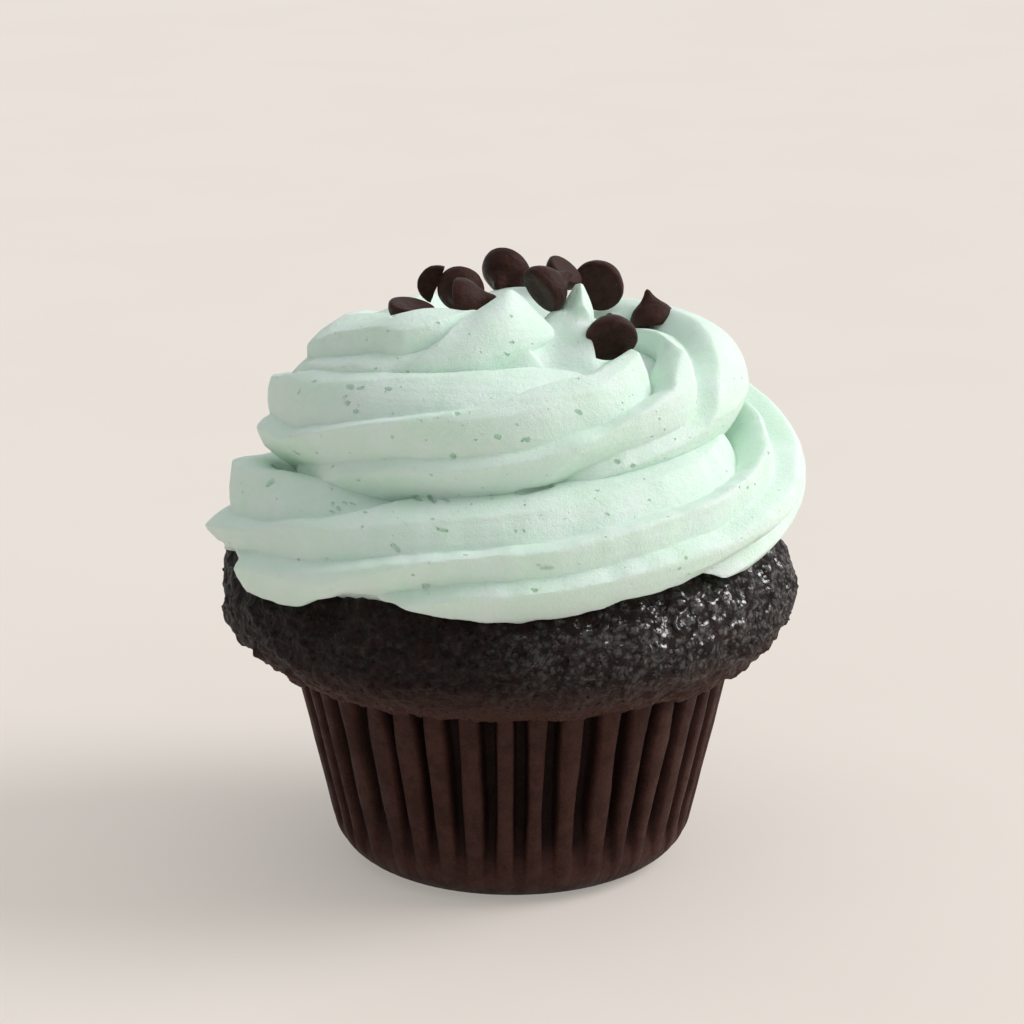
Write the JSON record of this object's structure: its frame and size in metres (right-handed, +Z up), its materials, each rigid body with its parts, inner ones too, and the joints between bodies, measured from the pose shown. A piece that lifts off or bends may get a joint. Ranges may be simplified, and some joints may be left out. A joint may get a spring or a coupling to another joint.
{
  "type": "cupcake",
  "caption": "Dark chocolate cupcake in a pleated brown paper case, with a tall piped swirl of pale mint frosting and small dark chocolate chips scattered on top.",
  "frame": {"origin": "centre of the flat base of the paper case, where the cupcake stands", "axes": "+Z up through the middle of the case, -Y towards the front, where the lowest turn of the frosting dips onto the cake, and +X to the right of someone facing the front"},
  "size_m": [0.0875, 0.0851, 0.0906],
  "materials": {
    "paper": "dark brown greaseproof baking paper, matt, finely mottled by the fat of the cake",
    "cake_crumb": "very dark chocolate crumb, moist and glistening in places, with open pores",
    "frosting": "pale mint green buttercream, satin, with small torn air bubbles",
    "chocolate": "dark chocolate with a soft sheen and pale specks of bloom"
  },
  "bodies": {
    "root": {"paper_case": "paper", "cake": "cake_crumb", "frosting": "frosting", "chip_01": "chocolate", "chip_02": "chocolate", "chip_03": "chocolate", "chip_04": "chocolate", "chip_05": "chocolate", "chip_06": "chocolate", "chip_07": "chocolate", "chip_08": "chocolate", "chip_09": "chocolate", "chip_10": "chocolate"}
  },
  "joints": []
}
